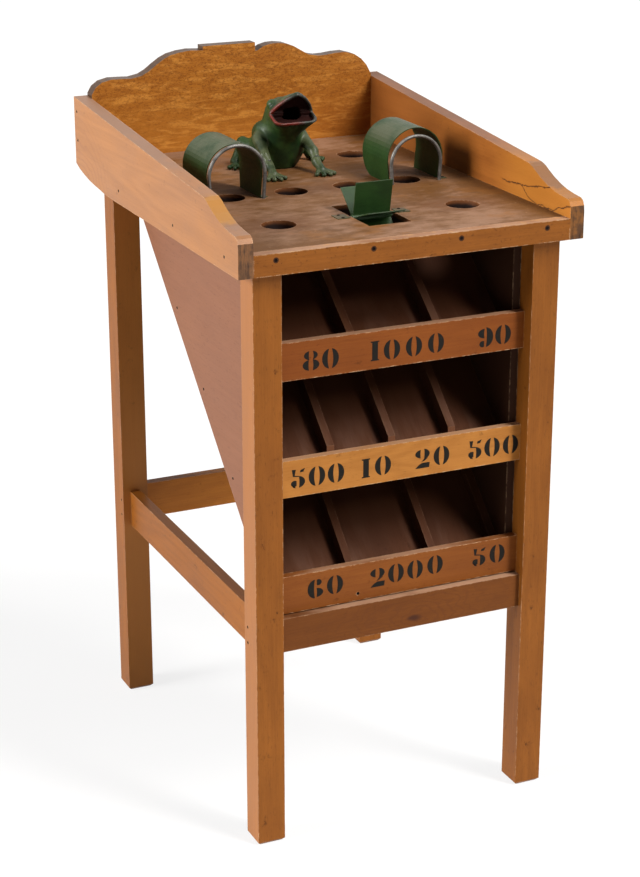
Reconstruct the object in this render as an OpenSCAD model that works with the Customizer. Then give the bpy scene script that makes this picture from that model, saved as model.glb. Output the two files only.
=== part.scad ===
/* [Stand] */
// Outer width over the two side rails
stand_w = 500; // [480:5:540]
// Depth of the side rails
stand_d = 630; // [620:5:660]
// Height of the playing surface above the floor
table_h = 851; // [840:1:900]
// Side of the square legs
leg_s = 40; // [38:1:42]

/* [Boards] */
// Thickness of the side rails and the back board
rail_t = 21; // [20:1:24]
// Thickness of the table board
table_t = 20; // [18:1:22]
// Thickness of the score boards
score_t = 12; // [10:1:12]
// Thickness of the sloping floors
chute_t = 10; // [8:1:12]
// Thickness of the side panels
panel_t = 12; // [10:1:12]
// Thickness of the dividers
divider_t = 11; // [9:1:13]

/* [Targets] */
// Radius of the round holes
hole_r = 23.5; // [22:0.5:25]
// Distance of the outer hole columns from the centre
column_x = 137; // [132:1:140]
// Radius of the mill wheel
mill_r = 51; // [46:1:54]
// Width of the mill blades
blade_w = 55; // [50:1:57]
// Angle of the blade that stands up in the photo
blade_angle = 101; // [60:1:120]

/* [Arches] */
// Outer radius of the left sheet arch
arch_r = 42; // [40:0.5:43]
// Length of the left sheet arch
arch_len = 88; // [70:1:95]
// Thickness of the hoop wire
wire_d = 5; // [4:0.5:5]

/* [Hidden] */

wood = [0.72, 0.45, 0.2];
wood_dark = [0.45, 0.28, 0.16];
green = [0.2, 0.34, 0.14];
steel = [0.55, 0.54, 0.52];

eps = 0.01;
far = 400;
fit = 0.05;
fn_small = 24;
fn_round = 48;
fn_limb = 8;
fn_foot = 6;
fn_body = 14;
fn_throat = 12;

in_x = stand_w / 2 - rail_t;
leg_out = in_x - 5;
leg_in = leg_out - leg_s;
strip_d = 16;
leg_y = [strip_d + 0.5, stand_d - 87.5];
foot_c = 4;
tenon_r = 9;
tenon_h = 8;
under = table_h - table_t;

strip_z = table_h - 29;
board_y = stand_d - 22;
rail_low = table_h - 29;

// Side rail outline: points of depth and height above the playing surface
rail_top = [[0, 8], [1, 16], [4, 22], [10, 25], [28, 26.3], [45, 28.5], [62, 32.5], [80, 38.5], [94, 44.5],
    [104, 49.5], [114, 52.3], [130, 53.8]];
rail_back_top = 93;
rail_back_low = -7;
rail_curve = [[-16, -13], [-38, -18], [-61, -22], [-85, -24.5], [-110, -26.5], [-123, -27.8], [-150, -29]];

// Crest of the back board: points from left to right, distance from its near end and height above the playing
// surface
crest_left = [[0, 97], [6, 107], [16, 114], [31, 117.5], [47, 117.2], [63, 116.5], [79, 119.5], [90, 125],
    [101, 133], [113, 141], [125, 146.5], [141, 150], [157, 151.5], [175, 150.5]];
crest_right = [[192, 144], [183, 149.5], [171, 152.5], [159, 153], [145, 151.2], [132, 146.5], [120, 139.5],
    [107, 132], [91, 129], [77, 129.3], [62, 131], [45, 131.5], [29, 127], [17, 119], [8, 109], [0, 94]];
tab_x = [177 - in_x, in_x - 196];
tab_h = 156.5;

apron_y = 25;
apron_d = 20;
// Heights of the boards and stretchers hang from the playing surface
apron_z = [table_h - 566, table_h - 517];
house = 4;
score_y = 36;
score_z = [[table_h - 184, table_h - 132], [table_h - 347, table_h - 295], [table_h - 515, table_h - 461]];
score_back = score_y + score_t;

side_str_in = 12;
side_str_z = [table_h - 567, table_h - 511];
str_t = 16;
back_str_y = leg_y[1] + 12.5;
back_str_z = [table_h - 563, table_h - 507];
str_tenon_t = 8;
str_tenon_l = 16;
side_tenon_l = 20;
mortise_gap = 0.5;

panel_y = score_back + 0.5;
panel_angle = 43.4;
panel_ref = [150, table_h - 432.7];
cleat_s = 12;

// Sloping floors: height of the upper face at the reference depth, angle
ref_y = 68;
chute_a = [38, 42, panel_angle];
panel_edge = 12;
chute_z = [table_h - 163, table_h - 321,
    panel_ref[1] + (ref_y - panel_ref[0]) * tan(panel_angle) + panel_edge / cos(panel_angle)];
div_h = [22, 21, 20];
div_y = [score_back + 18, score_back + 18, score_back];
div_x = [[-64, 64], [-92, 0, 92], [-64, 64]];

row_y = [132, 299, 482];
hole_xy = [[-column_x, row_y[0]], [column_x, row_y[0]],
    [-column_x - 3, row_y[1]], [-45, row_y[1]], [45, row_y[1]], [column_x - 5, row_y[1]],
    [-column_x, row_y[2]], [column_x, row_y[2]]];
throat_r = 21.5;
throat_step = 1.5;
frog_p = [4, 462];
base_r = 31;
hinge_p = [0, -54, 89];
jaw_up = 50;
jaw_down = 25;
jaw_t = 7;
lip = 3.6;
lean = 3;
skin = 0.3;

slot_x = 31.5;
slot_y = [76, 196];
axle_y = 136;
axle_drop = 3.4;
axle_z = table_h - axle_drop;
axle_r = 3;
axle_l = 108;
hub_r = 4.6;
hub_l = blade_w + 3;
blade_t = 1.2;
blades = 6;
strap = [18, 22, 0.8];
strap_x = 45;
tack_dy = 7.5;

sheet_t = 1.2;
arch_x = [-column_x - 0.5, column_x + 3.4];
arch_h = [79, 78];
arch_rs = [arch_r, arch_r + 2];
arch_ls = [arch_len, arch_len - 7];
arch_slope = [16, 62];
arch_y = 282;
arch_in = 3;
arch_corner = 26;
hoop_x = [-column_x + 1.5, column_x + 2.7];
hoop_r = [41.5, 39.2];
hoop_h = [77, 66.5];
hoop_y = 277;
hoop_a = 4;
pin_l = 12;
bend_extra = 0.12;
tab = [11, 12, 0.8];

nail_r = 1.2;
nail_head_r = 2.3;
nail_head_t = 1.2;
nail_sink = 0.4;
strip_nail_l = 34;
rail_nail_l = 42;
str_pin_l = 30;
panel_nail_l = 22;
panel_nail_d = [352, 216, 72];
panel_nail_up = 18;
board_nail_l = 18;
board_nail_z = 10;
tack_r = 0.8;
tack_head_r = 2.2;
tack_head_t = 0.6;
tack_l = 8;
screw_r = 2;
screw_head_r = 4;
screw_l = 30;

module place() translate([0, -stand_d / 2, 0]) children();
module mirror_x(side) { if (side < 0) children(); else mirror([1, 0, 0]) children(); }

// A box from its low corner to its high corner
module box2(a, b) translate(a) cube([b[0] - a[0], b[1] - a[1], b[2] - a[2]]);
// An outline of depth and height, drawn from one side position to another
module side_cut(x0, x1) translate([x0, 0, 0]) rotate([90, 0, 90]) linear_extrude(height = x1 - x0) children();
// A round bar between two points
module bar(a, b, r, n = fn_small) {
    v = b - a;
    l = norm(v);
    translate(a) rotate([0, acos(v[2] / l), atan2(v[1], v[0])]) cylinder(h = l, r = r, $fn = n);
}

// Nails: head position and direction
strip_nails = [for (x = [-in_x + 30.4, -62, 65, in_x - 35]) [[x, 0, table_h - 9], [0, 1, 0], strip_nail_l]];
function rail_nails(s) = [for (p = [[46, table_h - 10], [228, table_h - 11], [443, table_h - 10],
    [board_y + rail_t / 2, table_h + 29], [board_y + rail_t / 2, table_h + 72]])
    [[s * stand_w / 2, p[0], p[1]], [-s, 0, 0], rail_nail_l]];
// Pins through the stretchers' tenons: depth in the leg, height above the stretcher's lower edge
function pin_nails(s) = [for (p = [[leg_y[0] + 30, 38], [leg_y[0] + 30, 15], [leg_y[1] + 10, 41], [leg_y[1] + 10, 17]])
    [[s * leg_out, p[0], side_str_z[0] + p[1]], [-s, 0, 0], str_pin_l]];
panel_nail_yz = [for (d = panel_nail_d)
    [panel_ref[0] + d * cos(panel_angle) - panel_nail_up * sin(panel_angle),
    panel_ref[1] + d * sin(panel_angle) + panel_nail_up * cos(panel_angle)]];
function panel_nails(s) = [for (p = panel_nail_yz) [[s * leg_in, p[0], p[1]], [-s, 0, 0], panel_nail_l]];
board_nails = [[[div_x[2][0], score_y, score_z[2][0] + board_nail_z], [0, 1, 0], board_nail_l]];

module nail(n) {
    d = n[1];
    h = n[0] + nail_sink * d;
    bar(h, h + nail_head_t * d, nail_head_r);
    bar(h, h + n[2] * d, nail_r, 16);
}
module nail_hole(n) {
    d = n[1];
    bar(n[0] - 2 * d, n[0] + (nail_sink + nail_head_t) * d, nail_head_r + fit);
    bar(n[0] - 2 * d, n[0] + (n[2] + 1.5) * d, nail_r + fit, 16);
}
module nail_holes(list) for (n = list) nail_hole(n);

// Legs
module leg(s, k) {
    x0 = s < 0 ? -leg_out : leg_in;
    y0 = leg_y[k];
    cx = s * (leg_in + leg_out) / 2;
    cy = y0 + leg_s / 2;
    place() difference() {
        union() {
            box2([x0, y0, 0], [x0 + leg_s, y0 + leg_s, under]);
            translate([cx, cy, under - eps]) cylinder(h = tenon_h + eps, r = tenon_r, $fn = fn_round);
        }
        for (q = [0 : 3]) translate([cx, cy, 0]) rotate([0, 0, 90 * q])
            translate([leg_s / 2, 0, 0]) rotate([0, 45, 0])
                cube([foot_c * sqrt(2), leg_s + 4, foot_c * sqrt(2)], center = true);
        if (k == 0) {
            translate([s * leg_in, score_y, apron_z[0]]) mirror_x(-s) {
                for (z = score_z) translate([-eps, 0, z[0] - apron_z[0]])
                    cube([house + eps, score_t, z[1] - z[0]]);
                translate([-eps, apron_y - score_y, 0]) cube([house + eps, apron_d, apron_z[1] - apron_z[0]]);
            }
        }
        side_mortise(s, k);
        if (k == 1) box2([s < 0 ? -leg_in - str_tenon_l - mortise_gap : leg_in - eps,
            back_str_y + (str_t - str_tenon_t) / 2, back_str_z[0]],
            [s < 0 ? -leg_in + eps : leg_in + str_tenon_l + mortise_gap,
            back_str_y + (str_t + str_tenon_t) / 2, back_str_z[1]]);
        nail_holes(pin_nails(s));
    }
}
function str_x(s) = s < 0 ? -leg_out + side_str_in : leg_out - side_str_in - str_t;
module side_mortise(s, k) {
    x0 = str_x(s) + (str_t - str_tenon_t) / 2;
    y0 = k == 0 ? leg_y[0] + leg_s - side_tenon_l - mortise_gap : leg_y[1] - eps;
    y1 = k == 0 ? leg_y[0] + leg_s + eps : leg_y[1] + side_tenon_l + mortise_gap;
    box2([x0, y0, side_str_z[0]], [x0 + str_tenon_t, y1, side_str_z[1]]);
}
module side_stretcher(s) place() difference() {
    x0 = str_x(s);
    union() {
        box2([x0, leg_y[0] + leg_s, side_str_z[0]], [x0 + str_t, leg_y[1], side_str_z[1]]);
        box2([x0 + (str_t - str_tenon_t) / 2, leg_y[0] + leg_s - side_tenon_l, side_str_z[0]],
            [x0 + (str_t + str_tenon_t) / 2, leg_y[1] + side_tenon_l, side_str_z[1]]);
    }
    nail_holes(pin_nails(s));
}
module back_stretcher() place() {
    box2([-leg_in, back_str_y, back_str_z[0]], [leg_in, back_str_y + str_t, back_str_z[1]]);
    box2([-leg_in - str_tenon_l, back_str_y + (str_t - str_tenon_t) / 2, back_str_z[0]],
        [leg_in + str_tenon_l, back_str_y + (str_t + str_tenon_t) / 2, back_str_z[1]]);
}

// Tray
module rail_outline() polygon(concat(
    [for (p = rail_top) [p[0], table_h + p[1]]],
    [[stand_d, table_h + rail_back_top], [stand_d, table_h + rail_back_low]],
    [for (p = rail_curve) [stand_d + p[0], table_h + p[1]]],
    [[0, rail_low]]));
module side_rail(s) place() difference() {
    x0 = s < 0 ? -stand_w / 2 : in_x;
    side_cut(x0, x0 + rail_t) rail_outline();
    nail_holes(rail_nails(s));
}
module table_board() place() difference() {
    box2([-in_x, strip_d, under], [in_x, board_y, table_h]);
    for (p = hole_xy) translate([p[0], p[1], under - 1])
        cylinder(h = table_t + 2, r = hole_r, $fn = fn_round);
    translate([frog_p[0], frog_p[1], under - 1]) cylinder(h = table_t + 2, r = throat_r, $fn = fn_round);
    box2([-slot_x, slot_y[0], under - 1], [slot_x, slot_y[1], table_h + 1]);
    // Grooves of the mill axle
    groove_l = axle_l / 2 + 0.6;
    bar([-groove_l, axle_y, axle_z], [groove_l, axle_y, axle_z], axle_r + fit, fn_round);
    box2([-groove_l, axle_y - axle_r - fit, axle_z], [groove_l, axle_y + axle_r + fit, table_h + 1]);
    for (s = [-1, 1], y = leg_y)
        translate([s * (leg_in + leg_out) / 2, y + leg_s / 2, under - 1])
            cylinder(h = tenon_h + 1.5, r = tenon_r + fit, $fn = fn_round);
    for (k = [0, 1], s = [-1, 1]) bar(hoop_start(k, s), hoop_end(k, s, 0.5), wire_d / 2 + fit);
    nail_holes(strip_nails);
    nail_holes(rail_nails(-1));
    nail_holes(rail_nails(1));
    for (p = tack_points) tack_hole(p);
    for (p = frog_screw_xy) screw_hole(p);
}
module front_strip() place() difference() {
    box2([-in_x, 0, strip_z], [in_x, strip_d, table_h]);
    nail_holes(strip_nails);
}
module back_board() place() difference() {
    translate([0, board_y + rail_t, 0]) rotate([90, 0, 0]) linear_extrude(height = rail_t) polygon(concat(
        [[-in_x, under]], [for (p = crest_left) [p[0] - in_x, table_h + p[1]]],
        [[tab_x[0], table_h + crest_left[len(crest_left) - 1][1]], [tab_x[0], table_h + tab_h],
        [tab_x[1], table_h + tab_h], [tab_x[1], table_h + crest_right[0][1]]],
        [for (p = crest_right) [in_x - p[0], table_h + p[1]]], [[in_x, under]]));
    nail_holes(rail_nails(-1));
    nail_holes(rail_nails(1));
}

// Compartments
module front_apron() place()
    box2([-leg_in - house, apron_y, apron_z[0]], [leg_in + house, apron_y + apron_d, apron_z[1]]);
module score_board(k) place() difference() {
    box2([-leg_in - house, score_y, score_z[k][0]], [leg_in + house, score_back, score_z[k][1]]);
    if (k == 2) nail_holes(board_nails);
}
function slope_z(y) = panel_ref[1] + (y - panel_ref[0]) * tan(panel_angle);
function slope_y(z) = panel_ref[0] + (z - panel_ref[1]) / tan(panel_angle);
module side_panel(s) place() difference() {
    x0 = s < 0 ? -leg_in : leg_in - panel_t;
    side_cut(x0, x0 + panel_t) polygon([[panel_y, slope_z(panel_y)], [slope_y(under), under], [panel_y, under]]);
    nail_holes(panel_nails(s));
}
// Height of a floor's upper face, or of a line parallel to it, at a depth
function floor_z(k, y, up = 0) = chute_z[k] + (y - ref_y) * tan(chute_a[k]) + up / cos(chute_a[k]);
function floor_y(k, z, up = 0) = ref_y + (z - chute_z[k] - up / cos(chute_a[k])) / tan(chute_a[k]);
module strip_on(k, y0, low, high, x0, x1) side_cut(x0, x1) polygon([
    [y0, floor_z(k, y0, low)], [y0, floor_z(k, y0, high)],
    [floor_y(k, under, high), under], [floor_y(k, under, low), under]]);
chute_x = leg_in - panel_t;
module chute(k) place() difference() {
    strip_on(k, score_back, -chute_t, 0, -chute_x, chute_x);
    // The lower front edge is planed off level with the score board
    box2([-far, 0, score_z[k][0] - 2 * chute_t], [far, ref_y, score_z[k][0]]);
}
module divider(k, i) place() difference() {
    strip_on(k, div_y[k], 0, div_h[k], div_x[k][i] - divider_t / 2, div_x[k][i] + divider_t / 2);
    if (k == 2 && i == 0) nail_holes(board_nails);
}
module cleat(k, s) place() difference() {
    x0 = s < 0 ? -chute_x : chute_x - cleat_s;
    low = k == 2 ? 0 : -chute_t - cleat_s;
    strip_on(k, k == 2 ? score_back : 80, low, low + cleat_s, x0, x0 + cleat_s);
    if (k == 2) nail_holes(panel_nails(s));
}

// Mill
module mill_wheel() place() translate([0, axle_y, axle_z]) difference() {
    union() {
        bar([-hub_l / 2, 0, 0], [hub_l / 2, 0, 0], hub_r, fn_round);
        for (q = [0 : blades - 1]) rotate([blade_angle + q * 360 / blades, 0, 0])
            box2([-blade_w / 2, (axle_r + hub_r) / 2, -blade_t / 2], [blade_w / 2, mill_r, blade_t / 2]);
    }
    bar([-blade_w, 0, 0], [blade_w, 0, 0], axle_r, fn_round);
}
module mill_axle() place()
    bar([-axle_l / 2, axle_y, axle_z], [axle_l / 2, axle_y, axle_z], axle_r, fn_round);
module axle_strap(s) place() difference() {
    translate([s * strap_x, axle_y, table_h + strap[2] / 2]) cube(strap, center = true);
    for (p = tack_points) tack_hole(p);
}

// Arches and hoops
function arc(r, zc, n = 24) = [for (i = [0 : n]) [-r * cos(180 * i / n), zc + r * sin(180 * i / n)]];
module arch_band(r, h) polygon(concat([[-r + arch_in, 0]], arc(r, h - r), [[r - arch_in, 0]]));
module arch(k) place() difference() {
    union() {
        translate([arch_x[k], arch_y + arch_ls[k], table_h]) rotate([90, 0, 0])
            linear_extrude(height = arch_ls[k]) difference() {
                arch_band(arch_rs[k], arch_h[k]);
                translate([0, -eps]) arch_band(arch_rs[k] - sheet_t, arch_h[k] - sheet_t);
            }
        for (s = [-1, 1]) translate([arch_x[k] + s * (arch_rs[k] - arch_in + tab[0] / 2 - sheet_t / 2),
            arch_y + tab[1] / 2, table_h + tab[2] / 2]) cube(tab, center = true);
    }
    // Rounded lower corner at the back of the left wall, and the slanting end of the left arch's right wall
    if (k == 0) translate([0, arch_y + arch_len, table_h]) side_cut(arch_x[k] + arch_r / 2, arch_x[k] + 2 * arch_r)
        polygon([[-arch_slope[0], -1], [1, -1], [1, arch_slope[1]], [0, arch_slope[1]], [-arch_slope[0], 0]]);
    translate([0, arch_y + arch_ls[k], table_h]) side_cut(arch_x[k] - 2 * arch_r, arch_x[k])
        difference() {
            translate([-arch_corner, -1]) square([arch_corner + 1, arch_corner + 1]);
            translate([-arch_corner, arch_corner]) circle(r = arch_corner, $fn = fn_round);
        }
    for (p = tack_points) tack_hole(p);
}
// Where the bent part of a hoop ends, and where its straight leg ends inside the table board
function hoop_start(k, s) = [hoop_x[k] + s * hoop_r[k] * cos(hoop_a), hoop_y,
    table_h + hoop_h[k] - hoop_r[k] - hoop_r[k] * sin(hoop_a)];
function hoop_end(k, s, more = 0) = let (p = hoop_start(k, s), l = (p[2] - table_h + pin_l) / cos(hoop_a) + more)
    p - l * [s * sin(hoop_a), 0, cos(hoop_a)];
module hoop(k) place() {
    translate([hoop_x[k], hoop_y, table_h + hoop_h[k] - hoop_r[k]]) rotate([90, 0, 0]) rotate([0, 0, -hoop_a])
        rotate_extrude(angle = 180 + 2 * hoop_a, $fn = fn_round) translate([hoop_r[k], 0])
            circle(d = wire_d, $fn = fn_small);
    for (s = [-1, 1]) {
        bar(hoop_start(k, s), hoop_end(k, s), wire_d / 2);
        // The bend is a little fuller than the wire
        ball(hoop_start(k, s), wire_d / 2 + bend_extra, fn_small);
    }
}

// Tacks: point on the surface they are driven into
tack_points = concat(
    [for (s = [-1, 1], y = [-1, 1]) [s * strap_x, axle_y + y * tack_dy, table_h + strap[2]]],
    [for (k = [0, 1], s = [-1, 1]) [arch_x[k] + s * (arch_rs[k] - arch_in + tab[0] / 2 + 1.2),
        arch_y + tab[1] / 2, table_h + tab[2]]]);
module tack(p) translate(p) {
    cylinder(h = tack_head_t, r = tack_head_r, $fn = fn_small);
    translate([0, 0, -tack_l]) cylinder(h = tack_l + eps, r = tack_r, $fn = 16);
}
module tack_hole(p) translate([p[0], p[1], p[2] - tack_l - 0.5])
    cylinder(h = tack_l + 3, r = tack_r + fit, $fn = 16);

// Frog, drawn about the centre of its base, with the mouth towards the front
frog_screw_xy = [for (a = [90, 210, 330]) [frog_p[0] + 26.5 * cos(a), frog_p[1] + 26.5 * sin(a)]];
module screw_hole(p) translate([p[0], p[1], under]) {
    translate([0, 0, -1]) cylinder(h = 4, r = screw_head_r + fit, $fn = fn_small);
    cylinder(h = screw_l + 1, r = screw_r + fit, $fn = fn_small);
}
module frog_screw(p) translate([p[0], p[1], under + 0.5]) {
    cylinder(h = 2.5, r = screw_head_r, $fn = fn_small);
    cylinder(h = screw_l - 1, r = screw_r, $fn = fn_small);
}
module ball(p, r, n) translate(p) sphere(r = r, $fn = n);
// A limb: tapered lengths with round ends between the points; each length ends inside the next
module limb(points, radii) for (i = [0 : len(points) - 2]) hull() {
    ball(points[i], radii[i], fn_limb);
    ball(points[i + 1], radii[i + 1] - skin, fn_limb);
}
// Half outlines of the two jaws in their own planes: side, distance from the hinge line
upper_half = [[31, -8], [33, 0], [26, 14], [14, 30], [0, 38.5]];
lower_half = [[31, -8], [33.5, 0], [33.5, 12], [27, 22], [0, 25.5]];
function both(h, g = 0) = let (n = len(h), q = [for (p = h) let (l = norm(p)) p * (1 - g / l)])
    concat(q, [for (i = [n - 2 : -1 : 0]) [-q[i][0], q[i][1]]]);
// The outline in a plane that rises to the front from the hinge line
module in_jaw(angle) translate(hinge_p) rotate([-angle, 0, 0]) mirror([0, 1, 0]) children();
module upper_jaw() hull() {
    in_jaw(jaw_up) translate([0, 0, -skin]) linear_extrude(height = jaw_t + skin) polygon(both(upper_half));
    ball([0, -23, 78], 28, fn_body);
    for (s = [-1, 1]) ball([s * 20, -32, 97], 8, fn_limb);
}
module lower_jaw() hull() {
    in_jaw(-jaw_down) translate([0, 0, -jaw_t]) linear_extrude(height = jaw_t + skin) polygon(both(lower_half));
    ball([0, -34, 66], 25, fn_body);
}
// Space between the jaws, the recesses in both, and the round back of the mouth
module mouth_cut() {
    gape = far / 4;
    translate([-far / 2, hinge_p[1], hinge_p[2]]) rotate([90, 0, 90]) linear_extrude(height = far)
        polygon([[0, 0], [-gape * cos(jaw_up), gape * sin(jaw_up)], [-gape * 1.2, 0],
            [-gape * cos(jaw_down), -gape * sin(jaw_down)]]);
    in_jaw(jaw_up) translate([0, 0, -1]) linear_extrude(height = 4) polygon(both(upper_half, lip));
    in_jaw(-jaw_down) translate([0, 0, -2.5]) linear_extrude(height = 3.5) polygon(both(lower_half, lip));
}
module torso() hull() {
    cylinder(h = 6, r = base_r, $fn = fn_throat);
    translate([0, -2, 36]) scale([42, 33, 27]) sphere(r = 1, $fn = fn_body);
    ball([0, 20, 18], 17, fn_limb);
    ball([0, -20, 62], 30, fn_body);
}
// The forelegs lean a little to the left
module foreleg(s) limb([[s * 33, -20, 46], [s * 38 - lean, -56, 26], [s * 37 - lean, -79, 9]], [10, 8, 6]);
module forefoot(s) hull() {
    ball([s * 37 - lean, -79, 6], 5.5, fn_foot);
    for (t = [-1, 0, 1]) translate([s * 38 - lean + t * 12, -100 + abs(t) * 3, 0]) cylinder(h = 4, r = 3.5, $fn = 6);
}
module hindleg(s) limb([[s * 33, 12, 20], [s * 44, 25, 31], [s * 61, 13, 8]], [17, 10, 7]);
module hindfoot(s) hull() {
    ball([s * 61, 12, 6], 6, fn_foot);
    for (p = [[60, -7], [68, -6], [74, 1]]) translate([s * p[0], p[1], 0]) cylinder(h = 4, r = 3.5, $fn = 6);
}
module frog_trunk() {
    torso();
    difference() {
        union() {
            upper_jaw();
            lower_jaw();
        }
        mouth_cut();
    }
}
module frog() place() difference() {
    translate([frog_p[0], frog_p[1], table_h]) difference() {
        frog_trunk();
        // Throat, wider to the front below, where it bends
        hull() {
            bar([0, 0, -2], [0, 0, 14], throat_r + throat_step, fn_throat);
            bar([0, -14, -2], [0, -14, 20], throat_r - 9.5, fn_limb);
        }
        bar([0, 0, 10], hinge_p + [0, 6, 4], throat_r - 1.5, fn_throat);
    }
    for (p = frog_screw_xy) screw_hole(p);
}
module frog_legs() place() translate([frog_p[0], frog_p[1], table_h]) difference() {
    for (s = [-1, 1]) {
        foreleg(s);
        forefoot(s);
        hindleg(s);
        hindfoot(s);
    }
    torso();
    lower_jaw();
}

color(wood) leg(-1, 0);  // leg_front_left
color(wood) leg(1, 0);  // leg_front_right
color(wood) leg(-1, 1);  // leg_back_left
color(wood) leg(1, 1);  // leg_back_right
color(wood) side_rail(-1);  // side_rail_left
color(wood) side_rail(1);  // side_rail_right
color(wood_dark) table_board();
color(wood) front_strip();
color(wood) back_board();
color(wood) front_apron();
color(wood) side_stretcher(-1);  // side_stretcher_left
color(wood) side_stretcher(1);  // side_stretcher_right
color(wood) back_stretcher();
color(wood_dark) side_panel(-1);  // side_panel_left
color(wood_dark) side_panel(1);  // side_panel_right
color(wood_dark) chute(0);  // chute_top
color(wood_dark) chute(1);  // chute_middle
color(wood_dark) chute(2);  // chute_bottom
color(wood) score_board(0);  // score_board_top
color(wood) score_board(1);  // score_board_middle
color(wood) score_board(2);  // score_board_bottom
color(wood_dark) divider(0, 0);  // divider_top_left
color(wood_dark) divider(0, 1);  // divider_top_right
color(wood_dark) divider(1, 0);  // divider_middle_left
color(wood_dark) divider(1, 1);  // divider_middle_centre
color(wood_dark) divider(1, 2);  // divider_middle_right
color(wood_dark) divider(2, 0);  // divider_bottom_left
color(wood_dark) divider(2, 1);  // divider_bottom_right
color(wood_dark) cleat(0, -1);  // cleat_top_left
color(wood_dark) cleat(0, 1);  // cleat_top_right
color(wood_dark) cleat(1, -1);  // cleat_middle_left
color(wood_dark) cleat(1, 1);  // cleat_middle_right
color(wood_dark) cleat(2, -1);  // cleat_bottom_left
color(wood_dark) cleat(2, 1);  // cleat_bottom_right
color(green) frog();
color(green) frog_legs();
color(steel) place() for (p = frog_screw_xy) frog_screw(p);  // frog_screws
color(green) arch(0);  // arch_left
color(green) arch(1);  // arch_right
color(steel) hoop(0);  // hoop_left
color(steel) hoop(1);  // hoop_right
color(green) mill_wheel();
color(steel) mill_axle();
color(green) axle_strap(-1);  // axle_strap_left
color(green) axle_strap(1);  // axle_strap_right
color(steel) place() {  // nails
    for (n = concat(strip_nails, rail_nails(-1), rail_nails(1), pin_nails(-1), pin_nails(1),
        panel_nails(-1), panel_nails(1), board_nails)) nail(n);
}
color(steel) place() for (p = tack_points) tack(p);  // tacks
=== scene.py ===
import math
from collections import namedtuple

import bpy
import numpy as np
from mathutils import Euler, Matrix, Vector


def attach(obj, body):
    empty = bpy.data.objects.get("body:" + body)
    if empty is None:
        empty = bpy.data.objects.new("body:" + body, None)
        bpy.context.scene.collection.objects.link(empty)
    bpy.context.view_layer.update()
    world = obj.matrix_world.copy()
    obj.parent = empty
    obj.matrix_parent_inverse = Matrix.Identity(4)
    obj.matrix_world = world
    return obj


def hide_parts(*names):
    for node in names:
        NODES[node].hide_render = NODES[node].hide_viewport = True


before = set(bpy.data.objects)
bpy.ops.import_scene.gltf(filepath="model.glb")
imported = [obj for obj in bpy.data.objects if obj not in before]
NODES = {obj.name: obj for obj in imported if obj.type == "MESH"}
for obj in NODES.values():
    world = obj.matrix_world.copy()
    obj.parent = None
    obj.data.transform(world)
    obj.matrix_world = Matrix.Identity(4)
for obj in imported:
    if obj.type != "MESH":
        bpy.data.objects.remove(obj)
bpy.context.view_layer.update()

X, Y, Z = range(3)
MM = 0.001
STAND_D = 630
TABLE_H = 851


def at(x, y, z):
    """A point of the row frame, given in millimetres: side, depth behind the front, height from the floor."""
    return Vector((x, y - STAND_D / 2, z)) * MM


def behind(y):
    """The row frame's Y of a depth behind the stand's front, given in millimetres."""
    return at(0, y, 0).y


# Camera: it stands at the front left and looks down
CAMERA_AT = at(-1222.66, -2361.7, 1537.74)
CAMERA_TURN = math.radians(-24.67)
CAMERA_DOWN = math.radians(19.93)
FOCAL_PX = 2119.85
PICTURE_H = 877
SENSOR = 36


def make_camera():
    data = bpy.data.cameras.new("camera")
    data.sensor_width = SENSOR
    data.lens = FOCAL_PX * SENSOR / PICTURE_H
    camera = bpy.data.objects.new("camera", data)
    camera.location = CAMERA_AT
    camera.rotation_euler = Euler((math.pi / 2 - CAMERA_DOWN, 0, CAMERA_TURN), "XYZ")
    bpy.context.scene.collection.objects.link(camera)
    bpy.context.scene.camera = camera


# Shader nodes in a few words
BUMP_DEPTH = 0.0006
NOISE_MIDDLE = 0.5
# Cosines between the rounded normal and the true one, on a flat and at an edge
EDGE_COSINES = (0.995, 0.86)
# Parts of the normal between which a surface comes to face the front or the left
TURNED_TO = (-0.80, -0.95)


def node(tree, kind, settings=None, **inputs):
    """A shader node. An input is a value or another node's output; _0 is the first input."""
    made = tree.nodes.new("ShaderNode" + kind)
    for key, value in (settings or {}).items():
        setattr(made, key, value)
    for key, value in inputs.items():
        socket = made.inputs[int(key[1:])] if key[0] == "_" else made.inputs[key.replace("_", " ")]
        if isinstance(value, bpy.types.NodeSocket):
            tree.links.new(value, socket)
        else:
            socket.default_value = value
    return made


def calc(tree, operation, a, b=0.0):
    return node(tree, "Math", {"operation": operation}, _0=a, _1=b).outputs[0]


def plus(tree, a, b):
    return calc(tree, "ADD", a, b)


def times(tree, first, *others):
    for other in others:
        first = calc(tree, "MULTIPLY", first, other)
    return first


def swing(tree, noise, share):
    """What a noise has above or below its middle, weighed."""
    return times(tree, calc(tree, "SUBTRACT", noise, NOISE_MIDDLE), share)


def mix(tree, factor, a, b):
    """A mix of two colours: the node's inputs 6 and 7, and its output 2."""
    a, b = (c if isinstance(c, bpy.types.NodeSocket) else (*c, 1) for c in (a, b))
    return node(tree, "Mix", {"data_type": "RGBA"}, _0=factor, _6=a, _7=b).outputs[2]


def lay(tree, colour, over, mask, share):
    """A second colour laid over the first where the mask is 1, by the given share."""
    return mix(tree, times(tree, mask, share), colour, over)


def ramp(tree, value, low, high, to_low=0.0, to_high=1.0):
    """A smooth step of a value between two limits."""
    limits = {"From_Min": low, "From_Max": high, "To_Min": to_low, "To_Max": to_high}
    return node(tree, "MapRange", {"interpolation_type": "SMOOTHSTEP"}, Value=value, **limits).outputs[0]


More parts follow.
